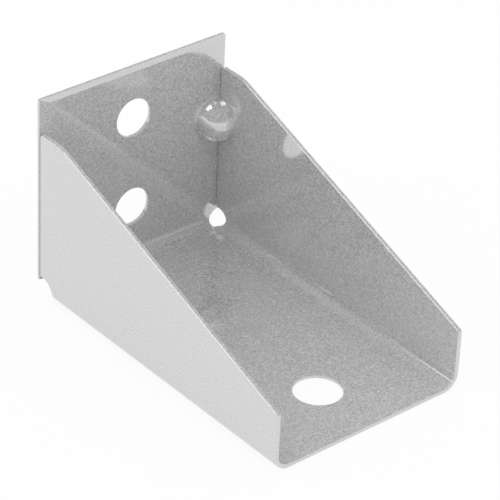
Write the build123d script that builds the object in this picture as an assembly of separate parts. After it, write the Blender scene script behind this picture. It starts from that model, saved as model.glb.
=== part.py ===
from build123d import *
import os

# Wall bracket for shelving, folded from one blank of steel sheet: a floor, two sloping sides
# and a wall plate. A round relief clears each rear corner, where the folds would meet, and a
# weld lump in that corner ties the side to the plate.
# X runs across the bracket, Y towards the wall and Z up. The origin is on the back face of
# the wall plate, midway between its two screw holes. Lengths are in millimetres.

# Sheet and folds
sheet = 1.0
fold_inner_r = 2.8
rim_r = 0.2
bracket_width = 50.0
bracket_depth = 80.0

# Wall plate, measured up from the underside of the floor
plate_height = 49.0
plate_corner_r = 0.5
roll_over_depth = 0.2
top_roll_over = 1.3
side_roll_over = 2.7
wall_hole_d = 9.0
upper_hole_below_top = 12.75
lower_hole_height = 13.75

# Sides: a level top at the wall, a long slope and an upright nose at the front
side_height = 41.0
side_top_length = 8.0
nose_height = 14.4
side_top_r = 9.0
side_corner_r = 0.8
side_seam = 0.15

# Floor hole, set back from the front edge
floor_hole_d = 10.7
floor_hole_setback = 15.75

# Corner reliefs: one ball cut for the side, floor and folds, and one for the plate
relief_r = 3.3
relief_in_from_back = 2.1
relief_out_from_side = 0.7
relief_height = 2.2
plate_relief_r = 3.7
plate_relief_height = 0.7

# Weld lumps: each sits on the corner line, and reaches further along the plate than the side
weld_below_side_top = 13.4
weld_half_length = 6.0
weld_r = 4.6

fold_outer_r = fold_inner_r + sheet
half_width = bracket_width / 2
side_rear = sheet + side_seam
upper_hole_height = plate_height - upper_hole_below_top
origin_height = (lower_hole_height + upper_hole_height) / 2
weld_height = side_height - weld_below_side_top


def rounded_trough(width, depth, height, radius):
    """A block with its rear face at Y = 0 and its underside at Z = 0, whose two long bottom
    edges and rear bottom edge are rounded by the fold radius."""
    front_view = Rectangle(width, height, align=(Align.CENTER, Align.MIN))
    front_view = fillet(front_view.vertices().group_by(Axis.Y)[0], radius)
    along = extrude(Plane.XZ * front_view, depth)
    side_view = Rectangle(depth, height, align=(Align.MAX, Align.MIN))
    side_view = fillet(side_view.vertices().group_by(Axis.Y)[0].sort_by(Axis.X)[-1], radius)
    across = extrude(Plane.YZ * side_view, width / 2, both=True)
    return along & across


def folded_sheet():
    """The sheet as a tray of even thickness, open at the front and on top."""
    outside = rounded_trough(bracket_width, bracket_depth, plate_height, fold_outer_r)
    inside = rounded_trough(bracket_width - 2 * sheet, bracket_depth, plate_height, fold_inner_r)
    return outside - Pos(0, -sheet, sheet) * inside


def side_outline():
    """The sides' outline seen from +X, carried across the whole width. Its rear edge stands
    a narrow seam off the plate, down to the top of the fold."""
    upper = FilletPolyline(
        (-side_rear, fold_outer_r),
        (-side_rear, side_height),
        (-side_top_length, side_height),
        (-bracket_depth, nose_height),
        (-bracket_depth, 0),
        radius=[side_corner_r, side_top_r, side_corner_r],
    )
    lower = Polyline(
        (-bracket_depth, 0),
        (0, 0),
        (0, fold_outer_r),
        (-side_rear, fold_outer_r),
    )
    return extrude(Plane.YZ * make_face([upper, lower]), half_width, both=True)


def plate_outline():
    """The wall plate above the fold, with its two top corners rounded. Shearing has rolled its
    front face over towards the cut edges, in a broad and shallow slope."""
    thin = sheet - roll_over_depth
    side_view = Polyline(
        (0, fold_outer_r),
        (-sheet, fold_outer_r),
        (-sheet, plate_height - top_roll_over),
        (-thin, plate_height),
        (0, plate_height),
        close=True,
    )
    plan = Polyline(
        (-half_width, 0),
        (-half_width, -thin),
        (side_roll_over - half_width, -sheet),
        (half_width - side_roll_over, -sheet),
        (half_width, -thin),
        (half_width, 0),
        close=True,
    )
    blank = Rectangle(bracket_width, plate_height - fold_outer_r, align=(Align.CENTER, Align.MIN))
    blank = fillet(blank.vertices().group_by(Axis.Y)[-1], plate_corner_r)
    plate = extrude(Plane.XZ * Pos(0, fold_outer_r) * blank, sheet)
    plate = plate & extrude(Plane.YZ * make_face(side_view), half_width, both=True)
    plate = plate & extrude(make_face(plan), plate_height)
    back = plate.faces().sort_by(Axis.Y)[-1]
    return fillet(back.edges().sort_by(Axis.Z)[1:], rim_r)


def corner_relief():
    """The relief at the +X corner. A ball stops at the plate and opens the side, the floor and
    the folds, so that its rims run into each other. A second ball opens the plate."""
    middle = Pos(half_width + relief_out_from_side, -relief_in_from_back, relief_height)
    size = 4 * relief_r
    room = Box(size, size, size, align=(Align.CENTER, Align.MAX, Align.CENTER))
    before_plate = Pos(half_width, -sheet) * room
    plate_middle = Pos(half_width, -sheet / 2, plate_relief_height)
    return (middle * Sphere(relief_r)) & before_plate, plate_middle * Sphere(plate_relief_r)


def wall_hole(height):
    """A round hole through the wall plate, on the bracket's middle line."""
    return extrude(Plane.XZ * Pos(0, height) * Circle(wall_hole_d / 2), sheet)


def floor_hole():
    """The round hole through the floor, near the front."""
    centre = Pos(0, floor_hole_setback - bracket_depth)
    return extrude(centre * Circle(floor_hole_d / 2), sheet)


def hole_rims(part):
    """Both rims of each of the three holes."""
    smallest = min(wall_hole_d, floor_hole_d) / 2
    circles = part.edges().filter_by(GeomType.CIRCLE)
    return circles.filter_by(lambda edge: edge.radius >= smallest)


def side_rims(part):
    """The rims of the sides and of the floor's front, from one rear corner round to the other."""
    rims = ShapeList()
    for edge in part.edges():
        box = edge.bounding_box()
        ledge = box.max.Y > -side_rear - rim_r and box.max.Z < fold_outer_r + rim_r
        if ledge or box.max.Y > -side_rear + rim_r / 2:
            continue
        meeting = [face for face in part.faces() if any(edge.is_same(e) for e in face.edges())]
        normals = [face.normal_at(edge @ 0.5) for face in meeting]
        if len(normals) == 2 and normals[0].get_angle(normals[1]) > 45:
            rims.append(edge)
    return rims


def weld_lump():
    """The weld at the +X corner: a rounded lump that lies on the plate and the side, and
    sinks into each by half the sheet."""
    size = 2 * weld_half_length
    half = Ellipse(weld_half_length, weld_r) & Pos(0, weld_r) * Rectangle(size, 2 * weld_r)
    lump = Pos(half_width - sheet, -sheet, weld_height) * revolve(half, Axis.X)
    corner = Pos(half_width - sheet / 2, -sheet / 2, weld_height)
    return lump & corner * Box(size, size, size, align=(Align.MAX, Align.MAX, Align.CENTER))


def bracket():
    """The finished bracket, moved so that the origin is midway between the wall holes."""
    part = folded_sheet() & (side_outline() + plate_outline())
    part = fillet(side_rims(part), rim_r)
    for relief in corner_relief():
        part = part - relief - mirror(relief, Plane.YZ)
    for height in (lower_hole_height, upper_hole_height):
        part = part - wall_hole(height)
    part = part - floor_hole()
    part = chamfer(hole_rims(part), rim_r)
    lump = weld_lump()
    part = part + lump + mirror(lump, Plane.YZ)
    return Pos(0, 0, -origin_height) * part


os.makedirs("parts", exist_ok=True)
export_step(bracket(), "parts/bracket.step")
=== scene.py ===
import math
import bmesh
import bpy
from mathutils import Matrix, Vector, noise


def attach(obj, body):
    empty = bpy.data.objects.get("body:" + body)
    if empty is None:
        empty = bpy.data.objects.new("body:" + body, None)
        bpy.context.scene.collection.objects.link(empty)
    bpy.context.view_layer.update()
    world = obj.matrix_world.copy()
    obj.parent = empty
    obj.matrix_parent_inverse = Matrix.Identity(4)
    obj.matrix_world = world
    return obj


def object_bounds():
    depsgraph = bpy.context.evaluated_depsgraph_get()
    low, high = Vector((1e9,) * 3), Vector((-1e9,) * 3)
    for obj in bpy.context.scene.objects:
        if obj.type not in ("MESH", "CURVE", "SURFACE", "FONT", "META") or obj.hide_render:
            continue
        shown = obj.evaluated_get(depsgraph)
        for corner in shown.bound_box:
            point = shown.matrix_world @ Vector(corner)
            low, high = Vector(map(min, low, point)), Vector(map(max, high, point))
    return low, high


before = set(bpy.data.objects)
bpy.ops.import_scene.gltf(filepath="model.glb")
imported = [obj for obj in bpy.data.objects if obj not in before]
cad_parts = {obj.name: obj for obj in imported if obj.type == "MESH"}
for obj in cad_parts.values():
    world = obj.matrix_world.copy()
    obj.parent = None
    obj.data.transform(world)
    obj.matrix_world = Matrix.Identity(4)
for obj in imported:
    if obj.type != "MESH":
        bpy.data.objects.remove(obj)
low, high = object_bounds()
scene = bpy.context.scene
scene.view_settings.view_transform = "Standard"

# Coat: one silver-grey metallic powder coat over the whole bracket. It is sprayed on and baked,
# so it is smooth and glossy, and the share of metal flake in it varies from grain to grain.
coat_grey = (0.70, 0.70, 0.70, 1)
coat_roughness = 0.06
grains_per_metre = 2400.0
flake_share = (0.22, 0.78)


def ramp(tree, source, before, after):
    """A node's output that turns one range of numbers into another."""
    node = tree.nodes.new("ShaderNodeMapRange")
    node.inputs["From Min"].default_value, node.inputs["From Max"].default_value = before
    node.inputs["To Min"].default_value, node.inputs["To Max"].default_value = after
    tree.links.new(source, node.inputs["Value"])
    return node.outputs["Result"]


coat = bpy.data.materials.new("coat")
coat.use_nodes = True
nodes = coat.node_tree.nodes
links = coat.node_tree.links
shader = nodes["Principled BSDF"]
shader.inputs["Base Color"].default_value = coat_grey
shader.inputs["Roughness"].default_value = coat_roughness
place = nodes.new("ShaderNodeTexCoord")
grain = nodes.new("ShaderNodeTexNoise")
grain.inputs["Scale"].default_value = grains_per_metre
grain.inputs["Detail"].default_value = 2.0
links.new(place.outputs["Object"], grain.inputs["Vector"])
flake = ramp(coat.node_tree, grain.outputs["Fac"], (0.3, 0.7), flake_share)
links.new(flake, shader.inputs["Metallic"])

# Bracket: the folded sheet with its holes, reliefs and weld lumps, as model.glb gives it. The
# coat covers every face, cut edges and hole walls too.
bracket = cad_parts["bracket"]
bracket.data.materials.clear()
bracket.data.materials.append(coat)

# Weld lumps: one bead in each rear corner ties the side to the plate. It was laid before the
# coat, and the coat follows its uneven surface. Its back is sunk in the sheet.
lump_centre = (0.024, -0.001, 0.0026)
lump_half_length = 0.0060
lump_half_depth = 0.0046
lump_drop = 0.0046
lump_rise = 0.0056
lump_rise_at_plate = 0.0009
lump_fullness = 1.08
swell_size = 0.04
swell_spread = 1.4
swell_start = Vector((3.1, 0.4, 1.7))
groove_depth = 0.035
groove_width = 0.20
groove_slant = 0.5
groove_foot = 0.6
side_middle = (0.0245, 0, 0)
plate_middle = (0, -0.0005, 0)


def made_piece(name, bm, material):
    """The finished mesh as an object of the scene."""
    mesh = bpy.data.meshes.new(name)
    bm.to_mesh(mesh)
    bm.free()
    mesh.materials.append(material)
    piece = bpy.data.objects.new(name, mesh)
    scene.collection.objects.link(piece)
    return piece


for hand, x_sign in (("right", 1), ("left", -1)):
    bm = bmesh.new()
    bmesh.ops.create_icosphere(bm, subdivisions=6, radius=1.0)
    for v in bm.verts:
        swell = noise.noise(v.co * swell_spread + swell_start)
        off_groove = (v.co.x - groove_slant * v.co.y) / groove_width
        groove = math.exp(-(off_groove ** 2)) * max(0.0, v.co.z + groove_foot)
        size = lump_fullness + swell_size * swell - groove_depth * groove
        reach = lump_rise + lump_rise_at_plate * v.co.y if v.co.z > 0 else lump_drop
        form = Vector((v.co.x * lump_half_length, v.co.y * lump_half_depth, v.co.z * reach))
        v.co = form * size
    bmesh.ops.translate(bm, verts=bm.verts, vec=lump_centre)
    for cut_at, cut_way in ((side_middle, (1, 0, 0)), (plate_middle, (0, 1, 0))):
        whole = bm.verts[:] + bm.edges[:] + bm.faces[:]
        bmesh.ops.bisect_plane(
            bm, geom=whole, plane_co=cut_at, plane_no=cut_way, clear_outer=True
        )
        rim = [edge for edge in bm.edges if edge.is_boundary]
        bmesh.ops.edgenet_fill(bm, edges=rim)
    bmesh.ops.scale(bm, verts=bm.verts, vec=(x_sign, 1, 1))
    bmesh.ops.recalc_face_normals(bm, faces=bm.faces)
    for face in bm.faces:
        face.smooth = len(face.verts) < 5
    weld = made_piece("weld_" + hand, bm, coat)
    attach(weld, "root")

# Seams: the narrow gap between each side and the plate. The coat has bridged it. It leaves
# shallow uneven pits on the inside and lies flush outside.
seam_middle_height = -0.00215
seam_length = 0.0349
seam_outer_x = 0.02497
seam_inner_x = 0.02398
pit_depth = 0.00090
pits_per_metre = 900
pit_threshold = 0.2
seam_front_y = -0.00098
seam_gap = 0.00019
for hand, x_sign in (("right", 1), ("left", -1)):
    bm = bmesh.new()
    bmesh.ops.create_grid(bm, x_segments=1, y_segments=70, size=0.5)
    for v in bm.verts:
        height = seam_middle_height + seam_length * v.co.y
        rough = noise.noise(Vector((7.0, x_sign, height * pits_per_metre)))
        pit = max(0.0, rough - pit_threshold)
        edge = seam_outer_x if v.co.x > 0 else seam_inner_x + pit_depth * pit
        v.co = Vector((edge, seam_front_y, height))
    back = bmesh.ops.extrude_face_region(bm, geom=bm.faces[:])
    moved = [item for item in back["geom"] if isinstance(item, bmesh.types.BMVert)]
    bmesh.ops.translate(bm, verts=moved, vec=(0, -seam_gap, 0))
    bmesh.ops.scale(bm, verts=bm.verts, vec=(x_sign, 1, 1))
    bmesh.ops.recalc_face_normals(bm, faces=bm.faces)
    seam = made_piece("seam_coat_" + hand, bm, coat)
    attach(seam, "root")

# Floor: a plain pale ground under the bracket, which keeps its faint shadow. It shows nearly
# white, and a little dimmer where the coat mirrors it.
floor_half_width = 6.0
floor_gap = 0.00002
floor_grey = (0.9, 0.9, 0.9, 1)
plain_share = 0.9
mirrored_loss = 0.08
ground = bpy.data.materials.new("ground")
ground.use_nodes = True
nodes = ground.node_tree.nodes
links = ground.node_tree.links
nodes.clear()
lit = nodes.new("ShaderNodeBsdfDiffuse")
lit.inputs["Color"].default_value = floor_grey
plain = nodes.new("ShaderNodeEmission")
paths = nodes.new("ShaderNodeLightPath")
white = nodes.new("ShaderNodeMath")
white.operation = "MULTIPLY_ADD"
white.inputs[1].default_value = -mirrored_loss
white.inputs[2].default_value = 1.0
links.new(paths.outputs["Is Glossy Ray"], white.inputs[0])
links.new(white.outputs["Value"], plain.inputs["Strength"])
either = nodes.new("ShaderNodeMath")
either.operation = "MAXIMUM"
links.new(paths.outputs["Is Camera Ray"], either.inputs[0])
links.new(paths.outputs["Is Glossy Ray"], either.inputs[1])
seen = nodes.new("ShaderNodeMath")
seen.operation = "MULTIPLY"
seen.inputs[1].default_value = plain_share
links.new(either.outputs["Value"], seen.inputs[0])
blend = nodes.new("ShaderNodeMixShader")
links.new(seen.outputs["Value"], blend.inputs["Fac"])
links.new(lit.outputs["BSDF"], blend.inputs[1])
links.new(plain.outputs["Emission"], blend.inputs[2])
output = nodes.new("ShaderNodeOutputMaterial")
links.new(blend.outputs["Shader"], output.inputs["Surface"])
bm = bmesh.new()
bmesh.ops.create_grid(bm, x_segments=1, y_segments=1, size=floor_half_width)
bmesh.ops.translate(bm, verts=bm.verts, vec=(0, 0, low.z - floor_gap))
floor = made_piece("floor", bm, ground)

# World: a studio of white walls under a dimmer ceiling, as the coat mirrors them. The left wall
# reaches higher. The light that the world gives is even, and a little stronger from above.
wall_top = (0.16, 0.30)
ceiling_white = 0.40
left_wall = (-0.78, -0.90)
left_wall_rise = 0.35
light_below = 0.74
light_above = 0.95
light_levels_at = 0.6
world = bpy.data.worlds.new("studio")
scene.world = world
world.use_nodes = True
nodes = world.node_tree.nodes
links = world.node_tree.links
nodes.clear()
ambient = nodes.new("ShaderNodeBackground")
mirrored = nodes.new("ShaderNodeBackground")
backdrop = nodes.new("ShaderNodeBackground")
for background in (ambient, mirrored, backdrop):
    background.inputs["Color"].default_value = (1, 1, 1, 1)
backdrop.inputs["Strength"].default_value = 1.0
direction = nodes.new("ShaderNodeTexCoord")
split = nodes.new("ShaderNodeSeparateXYZ")
links.new(direction.outputs["Generated"], split.inputs["Vector"])
panel = ramp(world.node_tree, split.outputs["X"], left_wall, (0.0, left_wall_rise))
edge_height = nodes.new("ShaderNodeMath")
edge_height.operation = "SUBTRACT"
links.new(split.outputs["Z"], edge_height.inputs[0])
links.new(panel, edge_height.inputs[1])
overhead = ramp(world.node_tree, edge_height.outputs["Value"], wall_top, (1.0, ceiling_white))
links.new(overhead, mirrored.inputs["Strength"])
from_above = (0.0, light_levels_at)
daylight = ramp(world.node_tree, split.outputs["Z"], from_above, (light_below, light_above))
links.new(daylight, ambient.inputs["Strength"])
paths = nodes.new("ShaderNodeLightPath")
glossy = nodes.new("ShaderNodeMixShader")
links.new(paths.outputs["Is Glossy Ray"], glossy.inputs["Fac"])
links.new(ambient.outputs["Background"], glossy.inputs[1])
links.new(mirrored.outputs["Background"], glossy.inputs[2])
seen = nodes.new("ShaderNodeMixShader")
links.new(paths.outputs["Is Camera Ray"], seen.inputs["Fac"])
links.new(glossy.outputs["Shader"], seen.inputs[1])
links.new(backdrop.outputs["Background"], seen.inputs[2])
output = nodes.new("ShaderNodeOutputWorld")
links.new(seen.outputs["Shader"], output.inputs["Surface"])

# Lamps: a soft box overhead, a small one lower on the left that draws a line of light along the
# slopes' left rims, and a weak one behind it that does so in the front of the right fold.
lamp_distance = 0.9
lit_centre = Vector((0, -0.035, 0))
for title, way, width, power in (
    ("top_box", (-0.26, 0.07, 0.963), 0.38, 0.85),
    ("left_box", (-0.80, 0.22, 0.56), 0.20, 0.42),
    ("rear_box", (-0.708, 0.562, 0.428), 0.12, 0.06),
):
    toward = Vector(way).normalized()
    box = bpy.data.lights.new(title, "AREA")
    box.shape = "SQUARE"
    box.size = width
    box.energy = power
    lamp = bpy.data.objects.new(title, box)
    scene.collection.objects.link(lamp)
    lamp.location = lit_centre + toward * lamp_distance
    lamp.rotation_euler = toward.to_track_quat("Z", "Y").to_euler()

# Camera: the photograph's place, from the left of the front and above, with a long lens.
camera = bpy.data.cameras.new("camera")
camera.lens = 211.24
camera.sensor_width = 36.0
camera.clip_start = 0.05
camera.clip_end = 20.0
camera_object = bpy.data.objects.new("camera", camera)
scene.collection.objects.link(camera_object)
stand = Matrix.Translation((-0.338152, -0.427912, 0.330487))
turn = Matrix.Rotation(math.radians(-41.138), 4, "Z")
tilt = Matrix.Rotation(math.radians(90 - 32.874), 4, "X")
roll = Matrix.Rotation(math.radians(2.657), 4, "Z")
camera_object.matrix_world = stand @ turn @ tilt @ roll
scene.camera = camera_object
